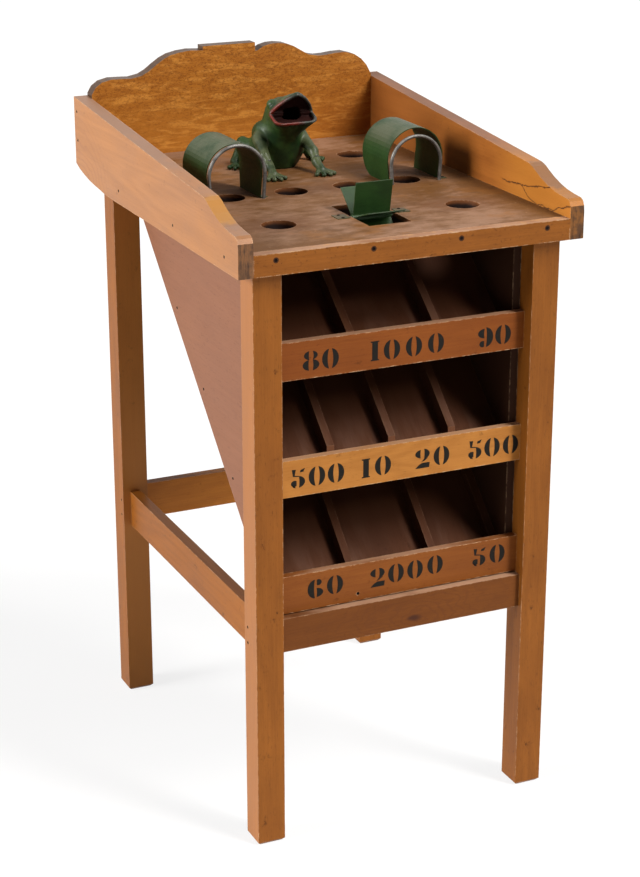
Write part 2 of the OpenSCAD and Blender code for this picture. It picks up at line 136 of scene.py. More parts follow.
def texture(tree, place, stretch, detail=4.0, rough=0.55, warp=0.0):
    """Noise on a place in metres, with the number of its cells in a metre along each axis."""
    spread = node(tree, "VectorMath", {"operation": "MULTIPLY"}, _0=place, _1=stretch).outputs[0]
    made = node(tree, "TexNoise", Vector=spread, Scale=1.0, Detail=detail, Roughness=rough, Distortion=warp)
    return made.outputs[0]


def patches(tree, place, stretch, low, high, **noise):
    """Patches that are 0 where a noise is under low and 1 where it is over high."""
    return ramp(tree, texture(tree, place, stretch, **noise), low, high)


def own_place(tree):
    """The place on a piece at rest, in metres."""
    return node(tree, "TexCoord").outputs["Object"]


def along_axis(tree, own, axis):
    return node(tree, "SeparateXYZ", _0=own).outputs[axis]


def facing(tree, axis):
    """One part of the surface's normal: for Z it is 1 where the surface faces up."""
    return along_axis(tree, node(tree, "NewGeometry").outputs["Normal"], axis)


def edge_mask(tree, radius):
    """1 along a solid's edges, 0 on its flats."""
    soft = node(tree, "Bevel", {"samples": 4}, Radius=radius).outputs[0]
    normal = node(tree, "NewGeometry").outputs["Normal"]
    agree = node(tree, "VectorMath", {"operation": "DOT_PRODUCT"}, _0=soft, _1=normal).outputs["Value"]
    return ramp(tree, agree, *EDGE_COSINES)


def away_from(tree, own, point, stretch=(1, 1, 1)):
    """The distance of a place from a point, with each axis weighed."""
    gap = node(tree, "VectorMath", {"operation": "SUBTRACT"}, _0=own, _1=tuple(point)).outputs[0]
    gap = node(tree, "VectorMath", {"operation": "MULTIPLY"}, _0=gap, _1=stretch).outputs[0]
    return node(tree, "VectorMath", {"operation": "LENGTH"}, _0=gap).outputs["Value"]


def nearest(tree, own, points, stretch=(1, 1, 1)):
    """The distance of a place from the nearest of some points."""
    near, *others = (away_from(tree, own, point, stretch) for point in points)
    for gap in others:
        near = calc(tree, "MINIMUM", near, gap)
    return near


def start(name):
    """A new material: the material, its tree and its shader."""
    material = bpy.data.materials.new(name)
    material.use_nodes = True
    tree = material.node_tree
    tree.nodes.clear()
    shader = tree.nodes.new("ShaderNodeBsdfPrincipled")
    output = tree.nodes.new("ShaderNodeOutputMaterial")
    tree.links.new(shader.outputs[0], output.inputs[0])
    return material, tree, shader


def surface(tree, shader, colour, rough, relief, bump):
    """Gives a shader its colour, its roughness, and a bump of some strength from a relief."""
    normal = node(tree, "Bump", Height=relief, Strength=bump, Distance=BUMP_DEPTH).outputs[0]
    for value, socket in ((colour, "Base Color"), (rough, "Roughness"), (normal, "Normal")):
        tree.links.new(value, shader.inputs[socket])


# Wood
TURNS = {"X": (0, 0, 0), "Y": (0, 0, -math.pi / 2), "Z": (0, math.pi / 2, 0)}
SEED_STEPS = (1.7, 0.9, 2.3)
RING_SHARE = 0.11
TONE_MIDDLE = 0.52
BARE_EDGE = (0.62, 0.42, 0.25)
BARE_TOP = (0.36, 0.21, 0.13)
WOOD_EDGE = 0.0022
PORE_SHADE = 0.35
# Each wood's paler and darker colour
WOODS = {
    "orange": ((0.29, 0.098, 0.014), (0.11, 0.031, 0.004)),
    "reddish": ((0.235, 0.066, 0.010), (0.11, 0.027, 0.005)),
    "left_rail": ((0.38, 0.160, 0.049), (0.21, 0.080, 0.023)),
    "right_rail": ((0.36, 0.125, 0.022), (0.18, 0.052, 0.009)),
    "apron": ((0.165, 0.052, 0.009), (0.080, 0.023, 0.005)),
    "back_board": ((0.47, 0.175, 0.025), (0.27, 0.085, 0.012)),
    # The back stretcher: a paler copy of the orange wood, painted light
    "back_stretcher": ((0.60, 0.220, 0.034), (0.28, 0.085, 0.013)),
    "score_middle": ((0.42, 0.172, 0.036), (0.24, 0.086, 0.015)),
    "score_bottom": ((0.24, 0.075, 0.012), (0.12, 0.032, 0.006)),
    "table": ((0.150, 0.064, 0.017), (0.068, 0.026, 0.007)),
    "panel": ((0.235, 0.106, 0.060), (0.155, 0.064, 0.036)),
    "inner": ((0.095, 0.036, 0.017), (0.045, 0.015, 0.007))}


def wood_tone(tree, place, streak, clouds, bands, band_depth, mottle):
    """From 0, the darker colour, to 1: growth rings, streaks, fibres, clouds and, with mottle, ripples."""
    rings = texture(tree, place, (1.6, 13, 13), detail=2.0, warp=0.35)
    rings = calc(tree, "SINE", times(tree, rings, bands * math.tau))
    fibre = texture(tree, place, (45, 1500, 1500), detail=3.0, rough=0.6)
    tone = node(tree, "Math", {"operation": "MULTIPLY_ADD"}, _0=rings, _1=RING_SHARE * band_depth,
                _2=TONE_MIDDLE).outputs[0]
    for part, share in ((streak, 0.55), (fibre, 0.25), (clouds, 0.85)):
        tone = plus(tree, tone, swing(tree, part, share))
    if mottle:
        ripple = texture(tree, place, (55, 150, 150), detail=4.0, rough=0.6, warp=1.5)
        tone = plus(tree, tone, swing(tree, ripple, mottle))
    return calc(tree, "MAXIMUM", calc(tree, "MINIMUM", tone, 1.0), 0.0)


def wood(name, kind, along, seed, gloss=0.4, sheen=0.1, stain=0.5, worn=0.5, bands=9.0, band_depth=0.5,
         mottle=0.0, tilt=0.0, worn_colour=BARE_EDGE, top=0.0, top_colour=BARE_TOP, marks=None, late=None):
    """Varnished wood of a kind in WOODS. Its grain runs along X, Y or Z, tilted about X by tilt. Three shares
    say how much dark spots show (stain), bare edges (worn) and bare wood that faces up (top). One board's own
    marks come before its wear, and late ones after it."""
    material, tree, shader = start(name)
    pale, dark = WOODS[kind]
    own = own_place(tree)
    if tilt:
        own = node(tree, "VectorRotate", {"rotation_type": "X_AXIS"}, Vector=own, Angle=tilt).outputs[0]
    shift = tuple(seed * step for step in SEED_STEPS)
    place = node(tree, "Mapping", Vector=own, Rotation=TURNS[along], Location=shift).outputs[0]
    streak = texture(tree, place, (9, 420, 420), detail=5.0, rough=0.65)
    clouds = texture(tree, place, (5, 11, 11), detail=5.0, rough=0.6)
    pores = patches(tree, place, (110, 900, 900), 0.60, 0.74, detail=2.0)
    spots = patches(tree, place, (60, 75, 75), 0.60, 0.74, detail=6.0, rough=0.7)
    colour = mix(tree, wood_tone(tree, place, streak, clouds, bands, band_depth, mottle), dark, pale)
    darkest = tuple(c * PORE_SHADE for c in dark)
    colour = lay(tree, colour, darkest, pores, 0.4)
    colour = lay(tree, colour, darkest, spots, stain)
    if marks:
        colour = marks(tree, own, colour)
    if top:
        bare = times(tree, ramp(tree, facing(tree, Z), 0.8, 0.95), ramp(tree, clouds, 0.30, 0.55))
        colour = lay(tree, colour, top_colour, bare, top)
    scuffs = patches(tree, own, (90, 90, 90), 0.42, 0.62, detail=6.0, rough=0.75)
    colour = lay(tree, colour, worn_colour, times(tree, edge_mask(tree, WOOD_EDGE), scuffs), worn)
    if late:
        colour = late(tree, own, colour)
    shader.inputs["Specular IOR Level"].default_value = sheen
    rough = plus(tree, gloss - 0.12, times(tree, clouds, 0.3))
    relief = plus(tree, times(tree, streak, 0.6), times(tree, pores, -0.5))
    surface(tree, shader, colour, rough, relief, bump=0.25)
    return material


# Paint and metal
PAINT_EDGE = 0.0016
PAINT_WORN = 0.7
PAINT_CHIPS = 0.4
PAINT_SHEEN = 0.22
RUST = (0.10, 0.045, 0.02)


def paint(name, colour, light, worn_colour, top_wear=0.0):
    """Old oil paint on metal: chipped, and worn along the edges and, with top_wear, where it faces up."""
    material, tree, shader = start(name)
    own = own_place(tree)
    clouds = texture(tree, own, (28, 28, 28), detail=5.0, rough=0.6)
    brush = texture(tree, own, (60, 420, 420), detail=3.0)
    grit = texture(tree, own, (260, 260, 260), detail=6.0, rough=0.75)
    tone = plus(tree, times(tree, clouds, 1.1), times(tree, brush, 0.4))
    base = mix(tree, ramp(tree, tone, 0.45, 1.05), colour, light)
    mask = times(tree, edge_mask(tree, PAINT_EDGE), ramp(tree, grit, 0.40, 0.60), PAINT_WORN)
    if top_wear:
        rubbed = times(tree, ramp(tree, facing(tree, Z), 0.25, 0.75), ramp(tree, clouds, 0.25, 0.60))
        mask = calc(tree, "MAXIMUM", mask, times(tree, rubbed, top_wear))
    mask = calc(tree, "MAXIMUM", mask, times(tree, ramp(tree, grit, 0.66, 0.74), PAINT_CHIPS))
    shader.inputs["Specular IOR Level"].default_value = PAINT_SHEEN
    rough = plus(tree, 0.3, times(tree, grit, 0.35))
    surface(tree, shader, mix(tree, mask, base, worn_colour), rough, plus(tree, grit, brush), bump=0.22)
    return material


def metal(name, colour, dark, gloss=0.35):
    """Bare steel, dull and a little rusty."""
    material, tree, shader = start(name)
    own = own_place(tree)
    clouds = texture(tree, own, (70, 70, 70), detail=5.0, rough=0.65)
    grit = texture(tree, own, (700, 700, 700), detail=3.0)
    base = mix(tree, ramp(tree, clouds, 0.35, 0.68), colour, dark)
    base = lay(tree, base, RUST, ramp(tree, grit, 0.55, 0.70), 0.3)
    shader.inputs["Metallic"].default_value = 0.8
    surface(tree, shader, base, plus(tree, gloss, times(tree, clouds, 0.25)), grit, bump=0.15)
    return material


# Materials and arrises of CAD nodes, and new pieces
ARRIS_ANGLE = math.radians(35)


def dress(material, *names):
    """Gives CAD nodes their material."""
    for name in names:
        slots = NODES[name].data.materials
        slots.clear()
        slots.append(material)


def starting(*starts):
    """The names of the CAD nodes that start so."""
    return [name for name in NODES if name.startswith(starts)]


def ease(width, names):
    """Rounds the arrises of CAD nodes a little."""
    for name in names:
        made = NODES[name].modifiers.new("arris", "BEVEL")
        made.width = width
        made.segments = 2
        made.limit_method = "ANGLE"
        made.angle_limit = ARRIS_ANGLE


def add_mesh(name, verts, faces, material, smooth=False):
    mesh = bpy.data.meshes.new(name)
    mesh.from_pydata([tuple(v) for v in verts], [], [tuple(f) for f in faces])
    mesh.materials.append(material)
    if smooth:
        mesh.shade_smooth()
    made = bpy.data.objects.new(name, mesh)
    bpy.context.scene.collection.objects.link(made)
    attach(made, "stand")
    return made


# The table board's marks; reaches are in metres, from where a mark is gone to where it is full
HOLES = ((-137, 132), (137, 132), (-140, 299), (-45, 299), (45, 299), (132, 299), (-137, 482), (137, 482))
# Dark rings round the holes, a little behind and to the left of them: partly grease, partly painted shade
GREASE_SHADE_OFF = (-6, 5)
GREASE_SHADE_REACH = (0.080, 0.036)
GREASE_AND_SHADE = (0.105, 0.040, 0.013)
# Painted shade on steep faces: the heights between which it fades, then its near black and the brown near the
# top
WALL_SHADE_RISE = (0.847, 0.855)
WALL_SHADE, WALL_UNSHADED = (0.010, 0.004, 0.003), (0.135, 0.046, 0.014)
# Between these sides the bare patches fade out towards the rails: partly wear, partly painted shade of the
# rails
BARE_SIDES = (0.222, 0.16)
TABLE_BARE, TABLE_AMBER = (0.245, 0.134, 0.080), (0.20, 0.078, 0.016)
TABLE_DENT, TABLE_CHIP = (0.075, 0.032, 0.012), (0.55, 0.36, 0.22)


def hole_marks(tree, own, colour, fine):
    """Dark rings round the holes, partly grease and partly painted shade, and painted shade on the steep
    walls, near black deep down and the wall's own brown near the table's top.
    """
    aside, back = GREASE_SHADE_OFF
    near = nearest(tree, own, [at(x + aside, y + back, TABLE_H) for x, y in HOLES], (0.7, 1.0, 1))
    # Grease and painted shade round the holes
    greasy_and_shaded = ramp(tree, plus(tree, near, times(tree, fine, 0.045)), *GREASE_SHADE_REACH)
    colour = lay(tree, colour, GREASE_AND_SHADE, greasy_and_shaded, 0.7)
    # Painted shade on the walls of the holes and other steep faces, darker with depth
    wall = ramp(tree, calc(tree, "ABSOLUTE", facing(tree, Z)), 0.6, 0.3)
    worn = ramp(tree, plus(tree, along_axis(tree, own, Z), times(tree, fine, 0.008)), *WALL_SHADE_RISE)
    return mix(tree, wall, colour, mix(tree, worn, WALL_SHADE, WALL_UNSHADED))


def table_marks(tree, own, colour):
    """Varnish rubbed off in the middle but kept away from the rails, which also paints the rails' shade
    there, amber patches, dents and chips, and the marks of the holes.
    """
    broad = texture(tree, own, (6.5, 4.5, 5), detail=3.0, rough=0.5)
    fine = texture(tree, own, (30, 70, 60), detail=8.0, rough=0.75)
    bare = ramp(tree, plus(tree, broad, times(tree, fine, 0.9)), 0.80, 1.10)
    side = calc(tree, "ABSOLUTE", along_axis(tree, own, X))
    bare = times(tree, bare, ramp(tree, side, *BARE_SIDES))
    colour = lay(tree, colour, TABLE_BARE, bare, 0.85)
    amber = patches(tree, own, (11, 16, 10), 0.55, 0.66, detail=5.0, rough=0.65)
    colour = lay(tree, colour, TABLE_AMBER, amber, 0.5)
    dents = patches(tree, own, (130, 170, 100), 0.58, 0.66, detail=6.0, rough=0.75)
    colour = lay(tree, colour, TABLE_DENT, dents, 0.45)
    chips = patches(tree, own, (210, 260, 100), 0.68, 0.74, detail=4.0, rough=0.6)
    colour = lay(tree, colour, TABLE_CHIP, chips, 0.7)
    return hole_marks(tree, own, colour, fine)


# The apron's marks
KNOT = at(16, 25, 299)
KNOT_RING = 0.0085
KNOT_REACH = (0.12, 0.05)
KNOT_EDGE = (0.0125, 0.0085)
KNOT_LINE, KNOT_CORE = (0.10, 0.030, 0.008), (0.055, 0.018, 0.008)


def grain_arcs(tree, far, spacing, low, reach):
    """Lines of grain at even distances from a point, within a reach of it."""
    wave = calc(tree, "SINE", times(tree, far, math.tau / spacing))
    return times(tree, ramp(tree, wave, low, 1.0), ramp(tree, far, *reach))


def apron_marks(tree, own, colour):
    """A dark knot with the grain flowing round it."""
    warp = texture(tree, own, (14, 14, 30), detail=3.0, rough=0.5)
    far = plus(tree, away_from(tree, own, KNOT, (0.36, 0, 1)), times(tree, warp, 0.060))
    colour = lay(tree, colour, KNOT_LINE, grain_arcs(tree, far, KNOT_RING, 0.2, KNOT_REACH), 0.40)
    core = plus(tree, away_from(tree, own, KNOT, (0.45, 0, 1)), times(tree, warp, 0.014))
    return mix(tree, ramp(tree, core, *KNOT_EDGE), colour, KNOT_CORE)


# The back board's marks
FLECK_RISE = (0.84, 0.97)
# The right rail's shadow over the board's lower right end is painted into its colour; these are its reach
# across and up
RAIL_SHADOW_SIDE, RAIL_SHADOW_RISE = (0.10, 0.22), (0.98, 0.86)
BOARD_WAVE, BOARD_FLECK = (0.66, 0.29, 0.055), (0.15, 0.045, 0.010)
BOARD_RAIL_SHADOW, BOARD_EDGE = (0.16, 0.040, 0.008), (0.024, 0.016, 0.012)


def board_marks(tree, own, colour):
    """Golden waves, dark flecks that are denser towards the crest, a painted shadow of the right rail over
    the lower right end, and dark sawn edges.
    """
    waves = patches(tree, own, (22, 30, 120), 0.46, 0.68, detail=4.0, rough=0.6, warp=1.0)
    colour = lay(tree, colour, BOARD_WAVE, waves, 0.55)
    high = along_axis(tree, own, Z)
    flecks = patches(tree, own, (230, 60, 420), 0.47, 0.60, detail=4.0, rough=0.7, warp=0.8)
    colour = lay(tree, colour, BOARD_FLECK, flecks, ramp(tree, high, *FLECK_RISE, 0.12, 0.62))
    # Painted shadow of the right rail: darker to the right and low down
    rail_shadow = times(tree, ramp(tree, along_axis(tree, own, X), *RAIL_SHADOW_SIDE), ramp(tree, high, *RAIL_SHADOW_RISE))
    colour = lay(tree, colour, BOARD_RAIL_SHADOW, rail_shadow, 0.55)
    edge = ramp(tree, calc(tree, "ABSOLUTE", facing(tree, Y)), 0.85, 0.5)
    return lay(tree, colour, BOARD_EDGE, edge, 0.9)


# The rails' marks
NOSE_SLOPE = (behind(46), behind(58)), (behind(124), behind(110))
LEFT_SLOPE, RIGHT_SLOPE = (0.34, 0.150, 0.022), (0.16, 0.085, 0.050)
END_GRAIN, END_DRIP = (0.078, 0.034, 0.013), (0.02, 0.008, 0.004)
ARC_MIDDLE = at(0, 640, 780)
ARC_SPACING = 0.013
ARC_REACH = (0.22, 0.10)
ARC_LINE = (0.20, 0.070, 0.025)
# Golden near the nose, and a second colour that darkens the rail towards the back: painted shade
RAIL_GOLD, RAIL_SHADE = (0.42, 0.165, 0.022), (0.15, 0.048, 0.010)
GOLD_REACH = (behind(240), behind(120))
RAIL_SHADE_REACH = (behind(160), behind(420))
CRACK = (0.035, 0.010, 0.006)
CRACK_EDGE = (0.0012, 0.0005)
# Each crack's height changes over a stretch of depths, and it ends over another
UPPER_CRACK = (behind(180), behind(10), 0.866, 0.884)
UPPER_CRACK_END = (behind(192), behind(180))
LOWER_CRACK = (behind(102), behind(138), 0.852, 0.870)
LOWER_CRACK_RISE = (behind(56), behind(0), 0.0, 0.014)
LOWER_CRACK_END = (behind(140), behind(136))


def rail_end(tree, own, colour, slope):
    """The nose: end grain in front, dark and worn, and a slope above it of its own colour."""
    blotches = texture(tree, own, (60, 60, 35), detail=5.0, rough=0.7)
    depth = plus(tree, along_axis(tree, own, Y), swing(tree, blotches, 0.05))
    rise, fall = NOSE_SLOPE
    band = times(tree, ramp(tree, depth, *rise), ramp(tree, depth, *fall))
    band = times(tree, band, ramp(tree, facing(tree, Z), 0.3, 0.5))
    colour = lay(tree, colour, slope, band, 0.7)
    end = times(tree, ramp(tree, facing(tree, Y), -0.90, -0.97), ramp(tree, blotches, 0.40, 0.62, 0.6, 1.0))
    colour = mix(tree, end, colour, END_GRAIN)
    drips = patches(tree, own, (260, 260, 18), 0.50, 0.62, detail=3.0, rough=0.6)
    return lay(tree, colour, END_DRIP, end, times(tree, drips, 0.8))


def crack(tree, own, height):
    """A thin dark crack in the varnish, at a height that is a value of the tree."""
    wobble = texture(tree, own, (60, 60, 60), detail=6.0, rough=0.7)
    off = calc(tree, "SUBTRACT", along_axis(tree, own, Z), height)
    off = plus(tree, off, swing(tree, wobble, 0.014))
    return times(tree, ramp(tree, calc(tree, "ABSOLUTE", off), *CRACK_EDGE), 0.9)


def rail_cracks(tree, own):
    """Two cracks near the nose, on the rail's inner face."""
    depth = along_axis(tree, own, Y)
    upper = ramp(tree, depth, *UPPER_CRACK)
    upper = times(tree, crack(tree, own, upper), ramp(tree, depth, *UPPER_CRACK_END))
    lower = plus(tree, ramp(tree, depth, *LOWER_CRACK), ramp(tree, depth, *LOWER_CRACK_RISE))
    lower = times(tree, crack(tree, own, lower), ramp(tree, depth, *LOWER_CRACK_END))
    return times(tree, calc(tree, "MAXIMUM", upper, lower), ramp(tree, facing(tree, X), *TURNED_TO))


def left_rail_marks(tree, own, colour):
    """Faint arched grain near the back end, and a golden slope at the nose."""
    warp = texture(tree, own, (10, 10, 20), detail=3.0, rough=0.5)
    far = plus(tree, away_from(tree, own, ARC_MIDDLE, (0, 0.8, 1)), times(tree, warp, 0.05))
    colour = lay(tree, colour, ARC_LINE, grain_arcs(tree, far, ARC_SPACING, 0.0, ARC_REACH), 0.30)
    return rail_end(tree, own, colour, LEFT_SLOPE)


def right_rail_marks(tree, own, colour):
    """Golden and cracked near the nose, and darker towards the back with painted shade."""
    depth = along_axis(tree, own, Y)
    colour = mix(tree, ramp(tree, depth, *GOLD_REACH, 0.0, 0.5), colour, RAIL_GOLD)
    # Painted shade: darker towards the back
    colour = mix(tree, ramp(tree, depth, *RAIL_SHADE_REACH, 0.0, 0.55), colour, RAIL_SHADE)
    colour = rail_end(tree, own, colour, RIGHT_SLOPE)
    return mix(tree, rail_cracks(tree, own), colour, CRACK)


# The front strip's marks
STRIP_NAILS = [at(x, 0, 842) for x in (-198.6, -62, 65, 194)]
NAIL_DIRT_REACH = (0.0044, 0.0034)
STRIP_RIM = (0.8576, 0.8590)
STRIP_CHIP, STRIP_SPECK, NAIL_DIRT = (0.42, 0.21, 0.08), (0.05, 0.016, 0.004), (0.045, 0.015, 0.005)


def strip_marks(tree, own, colour):
    """Pale chips along the upper edge, dark specks, and dirt round the nails."""
    ragged = texture(tree, own, (70, 70, 70), detail=5.0, rough=0.7)
    high = plus(tree, along_axis(tree, own, Z), times(tree, ragged, 0.012))
    colour = mix(tree, ramp(tree, high, *STRIP_RIM), colour, STRIP_CHIP)
    specks = patches(tree, own, (260, 240, 260), 0.62, 0.70, detail=3.0, rough=0.6)
    colour = lay(tree, colour, STRIP_SPECK, specks, 0.5)
    return mix(tree, ramp(tree, nearest(tree, own, STRIP_NAILS), *NAIL_DIRT_REACH), colour, NAIL_DIRT)


# Marks of the legs, the panels and the compartments
# Paler colours laid on the front-left leg's left side and the back-left leg's front: painted light
LEG_LEFT_LIT, LEG_FRONT_LIT = (0.42, 0.190, 0.080), (0.42, 0.165, 0.040)
LEG_LIT_LOW = (0.60, 0.25)
PANEL_INNER = (0.1735, 0.1725)
# The panels' inner side and front edge are painted near black: painted shade
PANEL_SHADE = (0.030, 0.012, 0.006)
# Painted shade darkens the floors between these depths; the second colour below is that shade
FLOOR_SHADE_REACH = (behind(70), behind(135))
FLOOR_RUBBED, FLOOR_SHADE, FLOOR_FRONT = (0.15, 0.078, 0.052), (0.040, 0.013, 0.005), (0.20, 0.080, 0.040)


def front_leg_marks(tree, own, colour):
    """The left side, painted paler as painted light."""
    return lay(tree, colour, LEG_LEFT_LIT, ramp(tree, facing(tree, X), *TURNED_TO), 0.35)


def back_leg_marks(tree, own, colour):
    """The front, painted paler towards the floor as painted light."""
    # Painted light on the front, stronger towards the floor
    low = ramp(tree, along_axis(tree, own, Z), *LEG_LIT_LOW, 0.30, 0.65)
    return lay(tree, colour, LEG_FRONT_LIT, ramp(tree, facing(tree, Y), *TURNED_TO), low)


def panel_marks(tree, own, colour):
    """The inner side and the front edge, painted near black as painted shade."""
    inside = ramp(tree, calc(tree, "ABSOLUTE", along_axis(tree, own, X)), *PANEL_INNER)
    inside = calc(tree, "MAXIMUM", inside, ramp(tree, facing(tree, Y), -0.5, -0.9))
    return mix(tree, inside, colour, PANEL_SHADE)


def inner_marks(tree, own, colour):
    """Wood rubbed pale in front, where the discs collect, and painted shade that darkens it further in. Here
    own is tilted, so the depth is read from the piece's level place."""
    rubbed = patches(tree, own, (24, 5, 10), 0.45, 0.62, detail=4.0, rough=0.6)
    colour = lay(tree, colour, FLOOR_RUBBED, rubbed, 0.35)
    # Painted shade, darker further in
    inside = ramp(tree, along_axis(tree, own_place(tree), Y), *FLOOR_SHADE_REACH)
    colour = lay(tree, colour, FLOOR_SHADE, inside, 0.9)
    return lay(tree, colour, FLOOR_FRONT, ramp(tree, facing(tree, Y), -0.78, -0.92), 0.8)


# Dressing of the CAD nodes
ORANGE = dict(kind="orange", sheen=0.12, stain=0.75)
LEG_MARKS = {"leg_front_left": front_leg_marks, "leg_back_left": back_leg_marks}
LEGS = ("leg_front_left", "leg_front_right", "leg_back_left", "leg_back_right")
# Each row of compartments, with the slope of its floor in degrees and its wood's seed
CHUTES = (("top", 38, 51.0), ("middle", 42, 52.0), ("bottom", 43.4, 53.0))
BOARD_ARRIS, INNER_ARRIS = 0.0013, 0.0009


def dress_legs():
    for seed, name in enumerate(LEGS):
        late = LEG_MARKS.get(name)
        dress(wood(name + "_wood", along="Z", seed=seed + 1.3, late=late, **ORANGE), name)
    sides = wood("stretcher_wood", along="Y", seed=17.0, **ORANGE)
    dress(sides, "side_stretcher_left", "side_stretcher_right")
    # Paler than the other stretchers: painted light
    dress(wood("back_stretcher_lit_wood", "back_stretcher", "X", 18.0), "back_stretcher")


def dress_rails():
    rails = dict(along="Y", stain=0.8, band_depth=0.8, top=0.9)
    left = wood("left_rail_wood", "left_rail", seed=7.1, sheen=0.3, top_colour=(0.20, 0.110, 0.068),
                late=left_rail_marks, **rails)
    right = wood("right_rail_wood", "right_rail", seed=8.1, sheen=0.2, top_colour=(0.115, 0.062, 0.041),
                 late=right_rail_marks, **rails)
    dress(left, "side_rail_left")
    dress(right, "side_rail_right")


def dress_boards():
    strip = wood("front_strip_wood", along="X", seed=11.2, worn=0.9, top=0.8, late=strip_marks, **ORANGE)
    apron = wood("apron_wood", "apron", "X", 12.9, band_depth=0.4, top=0.9, marks=apron_marks)
    back = wood("back_board_wood", "back_board", "X", 15.4, gloss=0.34, worn=0.3, mottle=0.9, band_depth=0.3,
                marks=board_marks)
    table = wood("table_wood", "table", "X", 31.0, gloss=0.5, sheen=0.15, stain=0.65, worn=0.9, mottle=0.5,
                 band_depth=0.3, worn_colour=(0.5, 0.3, 0.18), marks=table_marks)
    dress(strip, "front_strip")
    dress(apron, "front_apron")
    dress(back, "back_board")
    dress(table, "table_board")


def dress_scores():
    worn = dict(along="X", worn=0.9, top=0.7)
    dress(wood("score_top_wood", "reddish", seed=21.0, **worn), "score_board_top")
    middle = wood("score_middle_wood", "score_middle", seed=22.0, bands=16, band_depth=0.9, **worn)
    dress(middle, "score_board_middle")
    dress(wood("score_bottom_wood", "score_bottom", seed=23.0, **worn), "score_board_bottom")


def dress_inside():
    panels = wood("panel_wood", "panel", "Y", 41.0, gloss=0.5, stain=0.25, band_depth=0.3, marks=panel_marks)
    dress(panels, "side_panel_left", "side_panel_right")
    for row, slope, seed in CHUTES:
        inner = wood("inner_wood_" + row, "inner", "Y", seed, gloss=0.6, sheen=0.05, worn=0.12,
                     tilt=-math.radians(slope), marks=inner_marks)
        dress(inner, *starting("chute_" + row, "divider_" + row, "cleat_" + row))


def dress_wood():
    dress_legs()
    dress_rails()
    dress_boards()
    dress_scores()
    dress_inside()
    ease(BOARD_ARRIS, starting("leg", "side_", "front_", "back_", "score"))
    ease(INNER_ARRIS, starting("divider", "chute"))


def dress_metal():
    green = dict(colour=(0.007, 0.023, 0.004), light=(0.014, 0.042, 0.007))
    arches = paint("arch_paint", worn_colour=(0.060, 0.066, 0.036), top_wear=0.9, **green)
    straps = paint("strap_paint", worn_colour=(0.075, 0.050, 0.026), top_wear=0.9, **green)
    dress(arches, "arch_left", "arch_right")
    dress(straps, "axle_strap_left", "axle_strap_right")
    dress(paint("mill_paint", worn_colour=(0.09, 0.105, 0.065), **green), "mill_wheel")
    wire = metal("wire", (0.175, 0.17, 0.158), (0.07, 0.065, 0.06), gloss=0.45)
    dress(wire, "hoop_left", "hoop_right")
    dress(metal("axle_steel", (0.25, 0.24, 0.22), (0.08, 0.07, 0.06)), "mill_axle")
    iron = metal("nail_iron", (0.012, 0.008, 0.006), (0.004, 0.003, 0.003), gloss=0.75)
    dress(iron, "nails", "tacks", "frog_screws")


# The frog: a field of distances on a grid, negative inside the casting. It is in millimetres from the middle
# of the frog's foot on the table, with the mouth towards -Y. Its surface is drawn by surface nets.
FROG_AT = (4, 462, TABLE_H)
FROG_BOX = ((-86, -106, 0), (86, 40, 127))
FROG_STEP, FROG_STEP_QUICK = 1.5, 2.4
# A jaw's outline is an oval: half its width, its reach from the hinge, and a power that squares it. Its ribs
# run from its root to points set in from the outline and lifted over its plane; rib gives their two radii.
# Side is 1 above the mouth and -1 below it.
Jaw = namedtuple("Jaw", "root, cheek, rib, rise, wide, reach, power, inset, lift, side, hollow")
UPPER = Jaw(root=(0, -23, 78), cheek=27, rib=(26, 3.5), rise=math.radians(50), wide=33, reach=39.5,
            power=1.4, inset=3.6, lift=3.4, side=1, hollow=3.5)
LOWER = Jaw(root=(0, -34, 66), cheek=24, rib=(23, 3.4), rise=-math.radians(25), wide=34, reach=26.5,
            power=5.0, inset=3.4, lift=0, side=-1, hollow=6)
HINGE = np.array([0, -54, 87.5])
JAW_RIBS = 9
# The lip's middle lies in from the outline and over the jaw's plane
LIP_INSET, LIP_RISE, LIP_R = 2.2, 1.6, 2.3
HOLLOW_INSET = 4.2
# Balls have a middle and a radius, eggs a middle and three radii, bars two points and two radii
TRUNK = ((0, -2, 16), (0, -20, 60), 31, 30)
BELLY = ((0, -3, 30), (41, 34, 34))
RUMP = ((0, 20, 18), 17)
FLANK = ((26, -6, 52), (13, 20, 16))
BROW = ((20, -31, 96.5), 8.3)
EYE = ((21.5, -34.5, 98.5), 5)
THROAT = ((0, 2, 0), (0, 0, 14), 20, 17)
GULLET = ((0, 0, 14), (0, -42, 84), 17, 18)
ARM = ((33, -18, 46), (38.5, -52, 28), 10, 7)
FOREARM = ((38.5, -52, 28), (37, -66, 17), 7, 5.8)
HAND = ((37, -66, 15), (38, -84, 7), 6.8, 5.5)
THIGH = ((30, 10, 22), (43, 25, 31), 18, 10.5)
SHANK = ((43, 25, 31), (60, 15, 9), 9, 6.5)
FOOT = ((60, 14, 7), (63, 8, 5), 6.5, 5)
# A digit's two radii and its pad's. A finger is given by its tip's side from the hand and its reach, a toe by
# its turn in degrees and its length.
FINGER, TOE = (3.6, 2.7, 3.3), (3.8, 2.6, 3.2)
FINGERS = ((-13, -95), (-4, -101), (6, -101), (14, -96))
TOES = ((-95, 17), (-62, 18), (-28, 16))
HAND_SIDE, TOE_ROOT, TOE_MIDDLE = 38, (62, 9, 5), (61, 8)
TIP_RISE = 3.2
FORELEG_SHIFT = 3
CUFF = (37, -63, 19)
CUFF_R, CUFF_DEPTH, CUFF_SLOPE = 6.6, 0.9, (0.72, 0.6)
LUMPS = 0.35


def ball(p, centre, r):
    return np.sqrt(sum((p[k] - centre[k]) ** 2 for k in range(3))) - r


